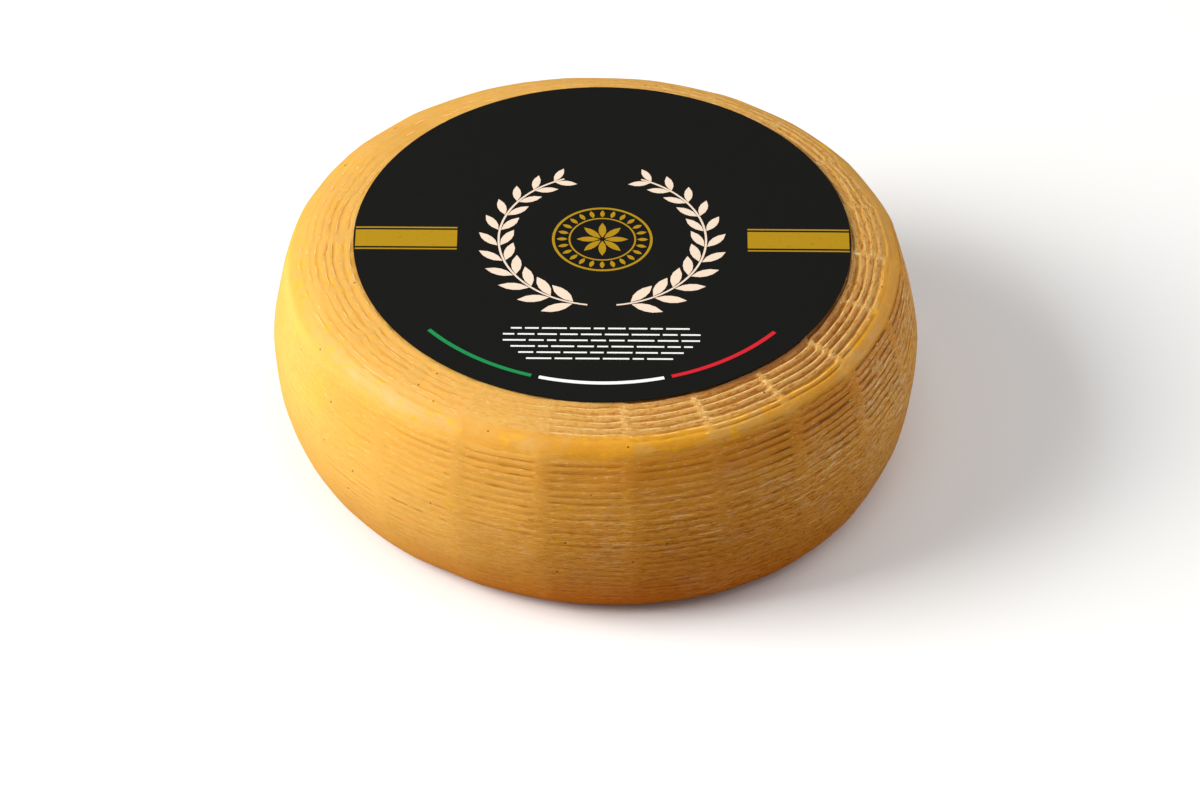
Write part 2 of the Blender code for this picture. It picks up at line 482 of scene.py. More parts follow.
def skin_depth(along, angle):
    """How deep the dents and wrinkles are."""
    around = Vector((cos(angle), sin(angle), 0)) * MAP_RADIUS
    spot = Vector((around.x, around.y, along))
    dents = DENT_DEPTH * (0.5 + 0.5 * noise.noise(spot / DENT_SIZE))
    wrinkles = WRINKLE_DEPTH * (0.5 + 0.5 * noise.noise(spot / WRINKLE_SIZE))
    above_end = 1 - smooth_step(along, RIND_END - DENTS_INSET, RIND_END)
    return smooth_step(along, 0, DENTS_INSET) * above_end * (dents + wrinkles)


def row_drift(rib, from_rib, along, angle):
    """How far a row slides down the rind here, with its panel's own start, tilt and bow."""
    share = from_rib / RIB_PITCH
    # Across a rib the drift turns smoothly from one panel's to the next one's.
    to_next = 0.5 * (1 - smooth_step(RIB_PITCH - from_rib, 0, DRIFT_CROSSING))
    to_last = 0.5 * (1 - smooth_step(from_rib, 0, DRIFT_CROSSING))
    blend = ((rib, 1 - to_next - to_last), ((rib + 1) % RIBS, to_next), ((rib - 1) % RIBS, to_last))
    ring = sum(panel_ring_shift[p] * w for p, w in blend)
    wall = sum(panel_wall_shift[p] * w for p, w in blend)
    bow = panel_bow[rib] * sin(pi * share) + panel_tilt[rib] * sin(tau * share) / 2
    wobble = by_angle(WANDER, angle) * MM * noise.noise((angle * 14, along / WOBBLE_LENGTH, 2.0))
    on_ring = in_zone(along, RING_DRIFT) * (ring + bow + wobble)
    return on_ring + in_zone(along, WALL_DRIFT) * (wall + 0.6 * bow + wobble)


for degrees in (-140, -30):
    step = beside_roll(12 * MM, radians(degrees)) / MM
    print(f"the ring at {degrees} degrees lies {step:.2f} mm below the roll")

# %% [markdown]
# ## Spinning and marking the wheel
#
# The section's points become a wire, and `spin` turns it round the Z axis into the whole rind.
# Each point keeps its row number on a layer, so that after the spin it can be moved to
# its final place: slid along the rind by its panel's drift, pushed in by its ridge's depth, and
# set out of round. The open middle of the top and of the base is filled and poked.
#
# What the rind's material needs is kept as attributes of the points: how deep a point is cut,
# whether it lies on a crest or on a rib, how far down the rind it is, and how rough and how
# streaky the skin is there.

# %% Make the wheel's mesh
MARKS = ("groove", "crest", "rib", "along", "rough", "streaks")
# The deepest groove mark on the ring, whose terraces are deep but not dark
RING_GROOVE_MARK = 0.62
# Down to here a rib crosses the ring or the roll, and below it the wall.
RIB_TO_WALL = 21 * MM


def spun_section():
    """The section's wire spun round Z, with each point's row number."""
    bm = bmesh.new()
    row_layer = bm.verts.layers.int.new("row")
    places = [section_at(along) for _, _, along, _ in rows]
    wire = make_wire(bm, [(radius, 0, height) for radius, height in places])
    for number, vert in enumerate(wire[: len(rows)]):
        vert[row_layer] = number
    spin(bm, wire, COLUMNS)
    return bm


def place_point(row, column):
    """The final place of a point, and the value of each of its marks."""
    zone, ridge, nominal, cut = rows[row]
    rib, from_rib = column_place(column)
    angle = FIRST_RIB + rib * RIB_PITCH + from_rib
    along = nominal + row_drift(rib, from_rib, nominal, angle)
    if zone in ("ring", "wall"):
        along += ridge_shift[rib, ridge] * (1 - near_rib(from_rib, 0, 2))
    at_crest = zone == "ring" and cut < CREST_CUT
    if zone == "ring":
        cut = softened(cut, (nominal - RING_FIRST) / PITCH, angle)
    depth = cut_depth(zone, ridge, angle, rib, from_rib, along)
    radius, height = section_at(along)
    inward_r, inward_z = into_cheese(along)
    inwards = cut * depth + skin_depth(along, angle) + beside_roll(along, angle)
    reach = (radius + inwards * inward_r) * flattened(from_rib, angle)
    place = uneven_round(reach, height + inwards * inward_z, angle)

    full = RING_DEPTH if zone == "ring" else WALL_DEPTH
    groove = min(cut * depth / full, RING_GROOVE_MARK if zone == "ring" else 1.0)
    crest = smooth_step(depth / full, 0.05, 0.3) if at_crest else 0.0
    if along < RIB_TO_WALL:
        on_rib = crossing_force(rib, from_rib) * near_rib(from_rib, 0.2, 1.2)
    else:
        on_rib = near_rib(from_rib, 0.8, 2.4)
    values = (groove, crest, on_rib, along, by_angle(ROUGH, angle), streakiness(along, angle))
    return place, dict(zip(MARKS, values))


def close_holes(bm):
    """Fills the open middle of the top and of the base, as fans."""
    open_edges = [edge for edge in bm.edges if edge.is_boundary]
    filled = bmesh.ops.holes_fill(bm, edges=open_edges, sides=0)
    bmesh.ops.poke(bm, faces=filled["faces"])


def make_wheel_mesh():
    bm = spun_section()
    row_layer = bm.verts.layers.int["row"]
    marks = {name: bm.verts.layers.float.new(name) for name in MARKS}
    for vert in bm.verts:
        column = round(atan2(vert.co.y, vert.co.x) / tau * COLUMNS) % COLUMNS
        vert.co, values = place_point(vert[row_layer], column)
        for name, layer in marks.items():
            vert[layer] = values[name]
    close_holes(bm)
    bmesh.ops.recalc_face_normals(bm, faces=bm.faces)
    return bm


wheel_mesh = make_wheel_mesh()
print(len(wheel_mesh.verts), "points,", len(wheel_mesh.faces), "faces on the wheel")

# %% [markdown]
# ## Building materials out of nodes
#
# Materials here are made of nodes only. A few helpers keep them readable: they add a node with
# its settings and inputs, do sums, mix two colours by a mask, and turn a value into a
# soft-edged mask. Colours are written as screen values from 0 to 255 and turned into the linear
# values that shaders use.

# %% Node helpers
def screen(*values):
    """A colour given in screen values, as the linear RGBA that shaders read."""
    shares = [value / 255 for value in values]
    linear = [s / 12.92 if s <= 0.04045 else ((s + 0.055) / 1.055) ** 2.4 for s in shares]
    return (*linear, 1.0)


def set_inputs(tree, node, inputs):
    """Sets each named input of a node to a value, or joins it to a socket."""
    for name, value in inputs.items():
        if isinstance(value, bpy.types.NodeSocket):
            tree.links.new(value, node.inputs[name])
        else:
            node.inputs[name].default_value = value


def add_node(tree, kind, inputs=None, **settings):
    """A new node with its settings and inputs."""
    made = tree.nodes.new(kind)
    for name, value in settings.items():
        setattr(made, name, value)
    set_inputs(tree, made, inputs or {})
    return made


def calculate(tree, operation, *values):
    """The result of a Math node."""
    return add_node(tree, "ShaderNodeMath", dict(enumerate(values)), operation=operation).outputs[0]


def times(tree, *values):
    """The product of masks and amounts."""
    product = values[0]
    for value in values[1:]:
        product = calculate(tree, "MULTIPLY", product, value)
    return product


def vector_math(tree, operation, *values, **named):
    """The outputs of a Vector Math node: its Vector and its Value."""
    inputs = {**dict(enumerate(values)), **named}
    return add_node(tree, "ShaderNodeVectorMath", inputs, operation=operation).outputs


def mix_colours(tree, mask, below, above):
    """The colour below, with the colour above laid over it where the mask is white."""
    inputs = {0: mask, 6: below, 7: above}
    return add_node(tree, "ShaderNodeMix", inputs, data_type="RGBA").outputs[2]


def soft_mask(tree, value, low, high):
    """0 where the value is below low, 1 above high, with a soft edge between."""
    inputs = {"Value": value, "From Min": low, "From Max": high}
    made = add_node(tree, "ShaderNodeMapRange", inputs, interpolation_type="SMOOTHSTEP")
    return made.outputs[0]


def attribute(tree, name):
    """A number that was stored on the mesh's points."""
    return add_node(tree, "ShaderNodeAttribute", attribute_name=name).outputs["Fac"]


def object_place(tree):
    """The place on the object, in metres."""
    return add_node(tree, "ShaderNodeTexCoord").outputs["Object"]


def level_place(tree):
    """The place on the object, brought down to height 0."""
    return vector_math(tree, "MULTIPLY", object_place(tree), (1, 1, 0))["Vector"]


def new_material(name):
    material = bpy.data.materials.new(name)
    material.use_nodes = True
    return material, material.node_tree, material.node_tree.nodes["Principled BSDF"]


print("butter yellow in linear values:", [round(c, 3) for c in screen(228, 178, 82)])

# %% [markdown]
# ## Patches: one group for every kind of blotch
#
# Oil stains, dust, faded spots and streaks are all the same thing at different sizes: noise cut
# off at a level. So they share one node group, which takes the place on the
# surface, the size of a blotch, how much of the surface is covered, and how soft the edge is.

# %% The patches group
# The noise lies mostly between 0.3 and 0.7, so the cover is spread over that range.
LEVEL_AT_NO_COVER = 0.72
LEVEL_FALL = -0.44
PATCH_NUMBERS = {"Size": 10 * MM, "Cover": 0.5, "Softness": 0.1, "Detail": 3.0, "Seed": 0.0}


def make_patches_group():
    """The group: a place and five numbers go in, a soft-edged mask and the bare noise come out."""
    group = bpy.data.node_groups.new("Patches", "ShaderNodeTree")
    group.interface.new_socket(name="Place", in_out="INPUT", socket_type="NodeSocketVector")
    for name, value in PATCH_NUMBERS.items():
        made = group.interface.new_socket(name=name, in_out="INPUT", socket_type="NodeSocketFloat")
        made.default_value = value
    for name in ("Mask", "Cloud"):
        group.interface.new_socket(name=name, in_out="OUTPUT", socket_type="NodeSocketFloat")
    given = group.nodes.new("NodeGroupInput").outputs
    result = group.nodes.new("NodeGroupOutput")
    noise_inputs = {
        "Vector": given["Place"],
        "W": given["Seed"],
        "Scale": calculate(group, "DIVIDE", 1.0, given["Size"]),
        "Detail": given["Detail"],
        "Roughness": 0.6,
    }
    cloud = add_node(group, "ShaderNodeTexNoise", noise_inputs, noise_dimensions="4D").outputs["Fac"]
    level = calculate(group, "MULTIPLY_ADD", given["Cover"], LEVEL_FALL, LEVEL_AT_NO_COVER)
    top = calculate(group, "ADD", level, given["Softness"])
    set_inputs(group, result, {"Mask": soft_mask(group, cloud, level, top), "Cloud": cloud})
    return group


patches_group = make_patches_group()


def patches(tree, place, size, cover=0.5, softness=0.1, detail=3.0, seed=0.0):
    """The outputs of a Patches group in a material: its Mask and its Cloud."""
    values = (place, size, cover, softness, detail, seed)
    inputs = dict(zip(("Place", *PATCH_NUMBERS), values))
    return add_node(tree, "ShaderNodeGroup", inputs, node_tree=patches_group).outputs


print("groups:", [group.name for group in bpy.data.node_groups])

# %% [markdown]
# ## The rind
#
# An aged, oiled rind is waxy, golden and far from even. From the cheese outwards it is butter
# yellow that wanders into ochre, a tan on the ring, tan and orange painted shade on the right
# and at its foot, a paler painted highlight on the left, a grey-brown painted sheen on the
# right, painted shade just under the roll, gold where oil has soaked the roll, deeper at the
# front-right as painted shade, and where it stands in pools, fine streaks that the basket's
# threads left, brown in the grooves that is partly dried whey and mostly painted shade, a pale
# dust on the crests that also paints their highlight and where the ribs cross the ring, a
# painted shadow beside the label's rim, pale flecks and scuffs, and a few dark pores.
#
# Blotches that follow the mould are drawn in a map of the rind: two axes run round the wheel,
# and the third is the distance down the rind, squeezed to stretch a blotch sideways.

# %% Maps and masks of the rind
# How much flatter than wide a blotch of each map is
EVEN, STRETCHED, FINE = 1.0, 4.5, 11.0
# Inside this radius the map is evenly enlarged, so that nothing is pinched in the base's middle.
MAP_MIDDLE = 78 * MM


def rind_map(tree, squeeze):
    """The place on the rind, with the distance down it squeezed by a factor."""
    level = level_place(tree)
    radius = vector_math(tree, "LENGTH", level)["Value"]
    to_map = calculate(tree, "DIVIDE", MAP_RADIUS, calculate(tree, "MAXIMUM", radius, MAP_MIDDLE))
    ring = vector_math(tree, "SCALE", level, Scale=to_map)["Vector"]
    down = calculate(tree, "MULTIPLY", attribute(tree, "along"), squeeze)
    lift = add_node(tree, "ShaderNodeCombineXYZ", {"Z": down}).outputs[0]
    return vector_math(tree, "ADD", ring, lift)["Vector"]


def side_mask(tree, x, y, low, high):
    """A mask that grows towards the side at (x, y), between two distances in mm."""
    facing = vector_math(tree, "DOT_PRODUCT", object_place(tree), (x, y, 0))["Value"]
    return soft_mask(tree, facing, low * MM, high * MM)


def band(tree, along, start, whole, fading, end):
    """A mask that is white in a band of the rind with soft edges, all in mm."""
    rising = soft_mask(tree, along, start * MM, whole * MM)
    return times(tree, rising, soft_mask(tree, along, end * MM, fading * MM))


def specks(tree, place, spacing, radius, shift):
    """Round specks, in mm: the spots of a Voronoi pattern that lie near the surface."""
    moved = vector_math(tree, "ADD", place, (shift, shift, shift))["Vector"]
    inputs = {"Vector": moved, "Scale": 1 / (spacing * MM)}
    distance = add_node(tree, "ShaderNodeTexVoronoi", inputs).outputs["Distance"]
    return soft_mask(tree, distance, radius / spacing, 0.6 * radius / spacing)


def under_label_rim(tree):
    """A mask that is white beside the label's rim, where the label's shadow is painted."""
    distance = vector_math(tree, "DISTANCE", level_place(tree), label_middle)["Value"]
    return soft_mask(tree, distance, 86 * MM, 84.3 * MM)


print("maps of the rind squeeze it by", (EVEN, STRETCHED, FINE))

# %% [markdown]
# Each colour is one row in a list of layers and lies over those before it, where its masks are
# white. It could be one painted image, but a list is easy to read and to reorder. The browns
# that paint shade in the grooves come after the painted sheen, so that it doesn't grey them.

# %% The rind's layers of colour
BUTTER = screen(228, 178, 82)
OCHRE = screen(204, 142, 44)
LEMON = screen(232, 184, 54)
PAINTED_HIGHLIGHT_BUTTER = screen(246, 200, 106)
RING_TAN_AND_SHADE = screen(212, 161, 84)
PAINTED_SHADE_TAN = screen(216, 152, 48)
PAINTED_SHEEN = screen(210, 168, 124)
UNDER_ROLL_SHADE = screen(212, 136, 16)
BAND_GOLD = screen(206, 140, 40)
LOW_SHADE_ORANGE = screen(234, 144, 4)
OILED_GOLD_AND_SHADE = screen(220, 152, 8)
OIL_POOL = screen(236, 172, 0)
STREAK_BROWN = screen(180, 112, 14)
GROOVE_GOLD = screen(232, 150, 26)
GROOVE_SHADE_BROWN = screen(136, 80, 4)
RING_GROOVE_SHADE_BROWN = screen(162, 90, 8)
DUST_AND_HIGHLIGHT = screen(250, 220, 158)
LABEL_RIM_SHADOW = screen(152, 74, 4)
PORE = screen(84, 44, 16)


def rind_colour(tree, even, stretched, fine):
    """The rind's colour, as layers from the cheese outwards."""
    groove, crest, rib, along, rough, streaks = (attribute(tree, name) for name in MARKS)

    def blotches(place, size, cover, softness, seed, detail=3):
        return patches(tree, place, size * MM, cover, softness, detail, seed)["Mask"]

    def side(x, y, low, high):
        return side_mask(tree, x, y, low, high)

    def mask(value, low, high):
        return soft_mask(tree, value, low, high)

    def zone(*limits):
        return band(tree, along, *limits)

    def amount(value, change, start):
        return calculate(tree, "MULTIPLY_ADD", value, change, start)

    on_ring = mask(along, 19 * MM, 14 * MM)
    above_wall = mask(along, 26 * MM, 22 * MM)
    on_wall = mask(along, 24 * MM, 28 * MM)
    low_down = mask(along, 72 * MM, 100 * MM)
    on_roll = zone(16, 18.5, 23.5, 26)
    pools = blotches(even, 5, 0.36, 0.08, seed=3)
    # Patches where the painted shade in the grooves is stronger, and its browns
    groove_shade_patches = blotches(stretched, 6, 0.75, 0.25, seed=5)
    groove_shade_browns = mix_colours(tree, on_ring, GROOVE_SHADE_BROWN, RING_GROOVE_SHADE_BROWN)

    # Each layer is a colour and the masks and amounts that say where and how much it covers.
    layers = (
        # The skin: yellow patches, tan on the ring, deeper on the right as painted shade, tan painted
        # shade on the right of the wall, and a paler painted highlight on the lit left
        (LEMON, blotches(even, 15, 0.4, 0.12, seed=1, detail=4), 0.6),
        (RING_TAN_AND_SHADE, above_wall, amount(side(1, 0, -60, 20), 0.25, 0.6)),
        (PAINTED_SHADE_TAN, side(0.87, -0.5, -10, 75), on_wall, 0.7),
        (PAINTED_HIGHLIGHT_BUTTER, side(-1, 0, 80, 106), on_wall, 0.6),
        (PAINTED_HIGHLIGHT_BUTTER, side(-0.85, -0.52, 70, 108), mask(along, 36 * MM, 66 * MM), 0.55),
        # A grey-brown painted sheen, the reflection on the right of the wall, thinner low down
        (PAINTED_SHEEN, side(0.82, -0.57, -20, 104), on_wall, blotches(even, 12, 0.55, 0.25, seed=14, detail=5),
         amount(low_down, -0.4, 0.55)),
        # Painted shade as darker gold just under the roll on the shaded side, darker gold on the ribs,
        # and painted shade as orange low down on the front-right
        (UNDER_ROLL_SHADE, zone(23, 26, 28, 44), rough, 0.7),
        (BAND_GOLD, rib, on_wall, zone(24, 28, 50, 85), rough, 0.12),
        (LOW_SHADE_ORANGE, low_down, side(0.5, -0.87, 0, 90), 0.9),
        # Oil that has soaked the roll, deeper towards the front-right as painted shade, pools of it,
        # and a thin line of it between ring and roll
        (OILED_GOLD_AND_SHADE, on_roll, blotches(even, 14, 0.85, 0.2, seed=2),
         amount(side(0.6, -0.8, 20, 90), 0.75, 0.15)),
        (OIL_POOL, on_roll, pools, 0.7),
        (OIL_POOL, on_ring, side(-1, 0, 20, 90), pools, 0.4),
        (OIL_POOL, zone(18.5, 19.5, 20.5, 22), blotches(even, 9, 0.6, 0.2, seed=16),
         side(-0.25, -1, 60, 100), 0.7),
        # Mottling, and small pale specks on the wall
        (OCHRE, blotches(even, 4, 0.45, 0.2, seed=17, detail=4), 0.16),
        (DUST_AND_HIGHLIGHT, blotches(stretched, 2.6, 0.28, 0.05, seed=18), on_wall, 0.42),
        # Long and short streaks from the basket's threads, and pale dashes at the far right
        (STREAK_BROWN, blotches(fine, 13, 0.5, 0.12, seed=4, detail=4), streaks, 0.22),
        (STREAK_BROWN, blotches(stretched, 3, 0.42, 0.06, seed=6), amount(streaks, 0.8, 0.03)),
        (DUST_AND_HIGHLIGHT, side(1, -0.1, 82, 103), on_wall, blotches(stretched, 2, 0.42, 0.06, seed=15), 0.55),
        # Gold in the smooth side's grooves. In the rough side's grooves brown, partly dried whey and
        # mostly painted shade, stronger in patches
        (GROOVE_GOLD, mask(groove, 0.02, 0.2), mask(rough, 0.6, 0.0), 0.28),
        (groove_shade_browns, mask(groove, 0.12, 0.8), amount(groove_shade_patches, 0.3, 0.7), mask(rough, 0.0, 0.8)),
        # Pale dust on the ring's crests that also paints their highlight line, less at the far right,
        # and pale dust where the ribs cross the ring
        (DUST_AND_HIGHLIGHT, mask(crest, 0.3, 1.0), blotches(stretched, 5, 0.65, 0.08, seed=9, detail=5),
         amount(side(1, 0, 75, 104), -0.4, 0.75)),
        (DUST_AND_HIGHLIGHT, rib, on_ring, blotches(even, 1.1, 0.5, 0.12, seed=8), rough, 0.8),
        # Clusters of flecks on the wall, and one scuffed spot at the front
        (DUST_AND_HIGHLIGHT, blotches(fine, 6.5, 0.36, 0.05, seed=11, detail=2),
         blotches(even, 24, 0.7, 0.15, seed=10), streaks, on_wall, 0.6),
        (DUST_AND_HIGHLIGHT, blotches(fine, 7, 0.3, 0.05, seed=12), side(0.34, -0.94, 94, 106),
         zone(32, 40, 62, 80), 0.6),
        # Painted shadow in brown beside the label's rim at the front-right, dark pores and pale specks
        (LABEL_RIM_SHADOW, under_label_rim(tree), side(0.66, -0.75, 55, 95), 0.9),
        (PORE, specks(tree, even, 8, 0.5, 0.3), 0.8),
        (DUST_AND_HIGHLIGHT, specks(tree, stretched, 14, 0.9, 0.7), 0.8),
    )
    wander = blotches(even, 26, 0.45, 0.3, seed=0, detail=5)
    colour = mix_colours(tree, wander, BUTTER, OCHRE)
    for above, *masks in layers:
        colour = mix_colours(tree, times(tree, *masks), colour, above)
    print(len(layers) + 1, "layers of colour on the rind")
    return colour


# %% [markdown]
# The finest relief is too small for the mesh: grains of curd, coarser on the ring, and the lines
# that the basket's threads leave. It is a bump, made of the same noise as the streaks of colour,
# so that brown lies in the low lines.
#
# Light goes a few millimetres into the rind, so it has some subsurface scattering. The film of
# oil is a thin, patchy coat, missing in the grooves, where what has dried is matte.

# %% The rind's relief, and the whole material
BUMP_DEPTH = 0.35 * MM
SCATTER_DEPTH = 1.2 * MM
# Red light goes deepest into the cheese.
SCATTER_SHARES = (1.0, 0.5, 0.15)


def rind_height(tree, even, stretched, fine):
    """Grains of curd and the lines of threads, as a height."""
    curd = patches(tree, even, 1.3 * MM, seed=21)["Cloud"]
    long_lines = patches(tree, fine, 13 * MM, detail=4, seed=4)["Cloud"]
    short_lines = patches(tree, stretched, 3 * MM, seed=6)["Cloud"]
    on_ring = soft_mask(tree, attribute(tree, "along"), 20 * MM, 14 * MM)
    knobs = calculate(tree, "MULTIPLY_ADD", on_ring, 0.35, times(tree, attribute(tree, "rough"), 0.25))
    grain = times(tree, curd, calculate(tree, "ADD", knobs, 0.05))
    lines = calculate(tree, "ADD", times(tree, long_lines, 0.5), short_lines)
    ruled = times(tree, lines, calculate(tree, "MULTIPLY_ADD", attribute(tree, "streaks"), 1.6, 0.12))
    # Brown streaks are the low lines, so the clouds are taken away.
    return calculate(tree, "SUBTRACT", grain, ruled)


def make_rind():
    material, tree, shader = new_material("oiled rind")
    maps = [rind_map(tree, squeeze) for squeeze in (EVEN, STRETCHED, FINE)]
    oil = patches(tree, maps[0], 12 * MM, 0.5, 0.3, seed=27)["Mask"]
    bump_inputs = {"Strength": 1.0, "Distance": BUMP_DEPTH, "Height": rind_height(tree, *maps)}
    film = calculate(tree, "MULTIPLY_ADD", oil, 0.2, 0.2)
    out_of_grooves = soft_mask(tree, attribute(tree, "groove"), 0.7, 0.1)
    finish = {
        "Base Color": rind_colour(tree, *maps),
        "Roughness": calculate(tree, "MULTIPLY_ADD", oil, -0.14, 0.56),
        "Normal": add_node(tree, "ShaderNodeBump", bump_inputs).outputs["Normal"],
        "Subsurface Weight": 0.25,
        "Subsurface Scale": SCATTER_DEPTH,
        "Subsurface Radius": SCATTER_SHARES,
        "Specular IOR Level": 0.2,
        "Coat Weight": times(tree, film, out_of_grooves),
        "Coat Roughness": 0.38,
    }
    set_inputs(tree, shader, finish)
    return material


make_piece("cheese_wheel", wheel_mesh, make_rind(), stands_for="wheel")

# %% [markdown]
# ## The paper label
#
# The label is a disc of stiff black paper that lies on the top face and over the innermost
# ridges. A flat cylinder would look like a coaster, so a wire from the middle to the rim is spun
# into a disc, its rim follows the ridges under it a little, and `solidify` gives it
# the thickness of paper.

# %% Make the paper
PAPER_THICKNESS = 0.22 * MM
PAPER_SIDES = 176
PRINT_LIFT = 0.04 * MM
PAPER_TOP = label_high.z - PRINT_LIFT
RIM_WIDTH = 6 * MM
RIM_RINGS = 5
RIM_DROOP = 0.1 * MM
DROOP_LENGTH = 14 * MM


def paper_height(x, y):
    """The height of the paper's upper face at a point of the label."""
    from_middle = Vector((x - label_middle.x, y - label_middle.y))
    rim = smooth_step(from_middle.length, LABEL_RADIUS - RIM_WIDTH, LABEL_RADIUS)
    wave = 0.5 + 0.5 * noise.noise((x / DROOP_LENGTH, y / DROOP_LENGTH, 5.0))
    return PAPER_TOP - RIM_DROOP * rim * wave


def make_paper_mesh():
    bm = bmesh.new()
    rim_radii = np.linspace(LABEL_RADIUS - RIM_WIDTH, LABEL_RADIUS, RIM_RINGS)
    radii = [0.0, 30 * MM, 60 * MM, *rim_radii]
    spin(bm, make_wire(bm, [(radius, 0, 0) for radius in radii]), PAPER_SIDES)
    bmesh.ops.remove_doubles(bm, verts=bm.verts, dist=0.01 * MM)
    bmesh.ops.translate(bm, verts=bm.verts, vec=label_middle)
    for vert in bm.verts:
        vert.co.z = paper_height(vert.co.x, vert.co.y)
    bmesh.ops.recalc_face_normals(bm, faces=bm.faces)
    if sum(face.normal.z for face in bm.faces) < 0:
        bmesh.ops.reverse_faces(bm, faces=bm.faces)
    bmesh.ops.solidify(bm, geom=bm.faces, thickness=PAPER_THICKNESS)
    return bm


paper_mesh = make_paper_mesh()
print(len(paper_mesh.faces), "faces on the paper")

# %% [markdown]
# The paper is black and matte, but not dead: its fibres scatter a little light, and there are
# faint soft smudges of oil from the cheese.

# %% The paper's material
PAPER_BLACK = screen(19, 19, 17)
PAPER_WORN = screen(27, 26, 24)
TOOTH_DEPTH = 0.02 * MM


def fibre_bump(tree):
    """The fine tooth of paper and its broad cockling, as a normal."""
    spot = object_place(tree)
    tooth = patches(tree, spot, 0.7 * MM, detail=4, seed=31)["Cloud"]
    cockle = patches(tree, spot, 30 * MM, detail=1, seed=33)["Cloud"]
    height = calculate(tree, "MULTIPLY_ADD", cockle, 6.0, tooth)
    inputs = {"Strength": 1.0, "Distance": TOOTH_DEPTH, "Height": height}
    return add_node(tree, "ShaderNodeBump", inputs).outputs["Normal"]


def make_paper():
    material, tree, shader = new_material("black paper")
    smudges = patches(tree, object_place(tree), 22 * MM, 0.4, 0.3, seed=35)["Mask"]
    finish = {
        "Base Color": mix_colours(tree, times(tree, smudges, 0.5), PAPER_BLACK, PAPER_WORN),
        "Roughness": calculate(tree, "MULTIPLY_ADD", smudges, -0.08, 0.62),
        "Normal": fibre_bump(tree),
        "Specular IOR Level": 0.08,
    }
    set_inputs(tree, shader, finish)
    return material


make_piece("paper_label", paper_mesh, make_paper(), stands_for="label")

# %% [markdown]
# ## The print
#
# The label's print is plain ornament: a cream wreath of two leafy sprigs round a gold rosette,
# gold stripes that run out to both sides, a green, white and red arc near the front rim, and
# rows of short pale dashes. It could be an image, but flat ink shapes stay sharp at any distance.
# Each part of it is one piece: flat outlines are laid out in the label's own millimetres, with
# the middle of the label as zero, and then given the thickness of a coat of ink.

# %% Flat outlines for the print
INK_THICKNESS = 0.06 * MM
LEAF_SIDES = 14


def turned(angle, x, y):
    """A place on the label, turned by an angle."""
    return Matrix.Translation((x, y, 0)) @ Matrix.Rotation(angle, 4, "Z")


def lay_bar(bm, left, right, front, back, parts=1):
    """A flat bar between two sides and two ends, in a number of parts along it."""
    place = Matrix.Translation(((left + right) / 2, (front + back) / 2, 0))
    scale = Matrix.Diagonal(((right - left) / 2, (back - front) / 2, 1, 1))
    bmesh.ops.create_grid(bm, x_segments=parts, y_segments=1, size=1, matrix=place @ scale)


def lay_arc(bm, radius, width, start, end, steps):
    """A flat band along part of a circle, by spinning its short end."""
    ends = [(reach * cos(start), reach * sin(start), 0) for reach in (radius, radius + width)]
    spin(bm, make_wire(bm, ends), steps, end - start)


def lay_leaf(bm, length, width, place):
    """A flat leaf: a disc that is pinched at both ends."""
    verts = bmesh.ops.create_circle(bm, cap_ends=True, segments=LEAF_SIDES, radius=1)["verts"]
    for vert in verts:
        pinch = 1 - abs(vert.co.x) ** 3
        vert.co = Vector((vert.co.x * length / 2, vert.co.y * width / 2 * pinch, 0))
    bmesh.ops.transform(bm, matrix=place, verts=verts)


def ink_piece(name, bm, material):
    """Gives flat outlines, laid out in mm, their ink thickness and puts them on the paper."""
    bmesh.ops.scale(bm, vec=(MM, MM, MM), verts=bm.verts)
    bmesh.ops.translate(bm, verts=bm.verts, vec=label_middle)
    bmesh.ops.recalc_face_normals(bm, faces=bm.faces)
    bmesh.ops.reverse_faces(bm, faces=[face for face in bm.faces if face.normal.z < 0])
    raised = bmesh.ops.extrude_face_region(bm, geom=bm.faces[:], use_keep_orig=True)
    upper = [item for item in raised["geom"] if isinstance(item, bmesh.types.BMVert)]
    for vert in bm.verts:
        vert.co.z = paper_height(vert.co.x, vert.co.y) - INK_THICKNESS / 2
    bmesh.ops.translate(bm, verts=upper, vec=(0, 0, INK_THICKNESS))
    bmesh.ops.recalc_face_normals(bm, faces=bm.faces)
    make_piece(name, bm, material)


# %% [markdown]
# Ink takes the tooth of the paper under it. Gold ink is a yellow-brown with a soft metallic
# share, and the others are plain colours, each a little uneven where the ink lies thin.

# %% Ink materials
# Each ink's colour, its colour where it lies thin, how metallic it is and how rough
INKS = {
    "gold": ((186, 145, 24), (150, 112, 16), 0.25, 0.45),
    "cream": ((233, 211, 190), (205, 180, 156), 0.0, 0.55),
    "white": ((238, 238, 236), (206, 206, 204), 0.0, 0.55),
    "green": ((24, 134, 74), (16, 104, 56), 0.0, 0.55),
    "red": ((206, 30, 44), (168, 22, 34), 0.0, 0.55),
}


def make_ink(name, colour, thin, metallic, roughness):
    material, tree, shader = new_material(name + " ink")
    worn = patches(tree, object_place(tree), 1.6 * MM, 0.35, 0.12, detail=4, seed=41)["Mask"]
    colours = (screen(*colour), screen(*thin))
    finish = {
        "Base Color": mix_colours(tree, times(tree, worn, 0.5), *colours),
        "Normal": fibre_bump(tree),
        "Metallic": metallic,
        "Roughness": roughness,
        "Specular IOR Level": 0.15,
    }
    set_inputs(tree, shader, finish)
    return material


inks = {name: make_ink(name, *recipe) for name, recipe in INKS.items()}
print("inks:", list(inks))

# %% [markdown]
# The wreath is two sprigs that bend round the middle and stay open at the top. Each has a thin
# stem along a circle and pairs of leaves that lean away from it and get shorter towards its tip.
# One sprig is laid out, and the other is its mirror image.

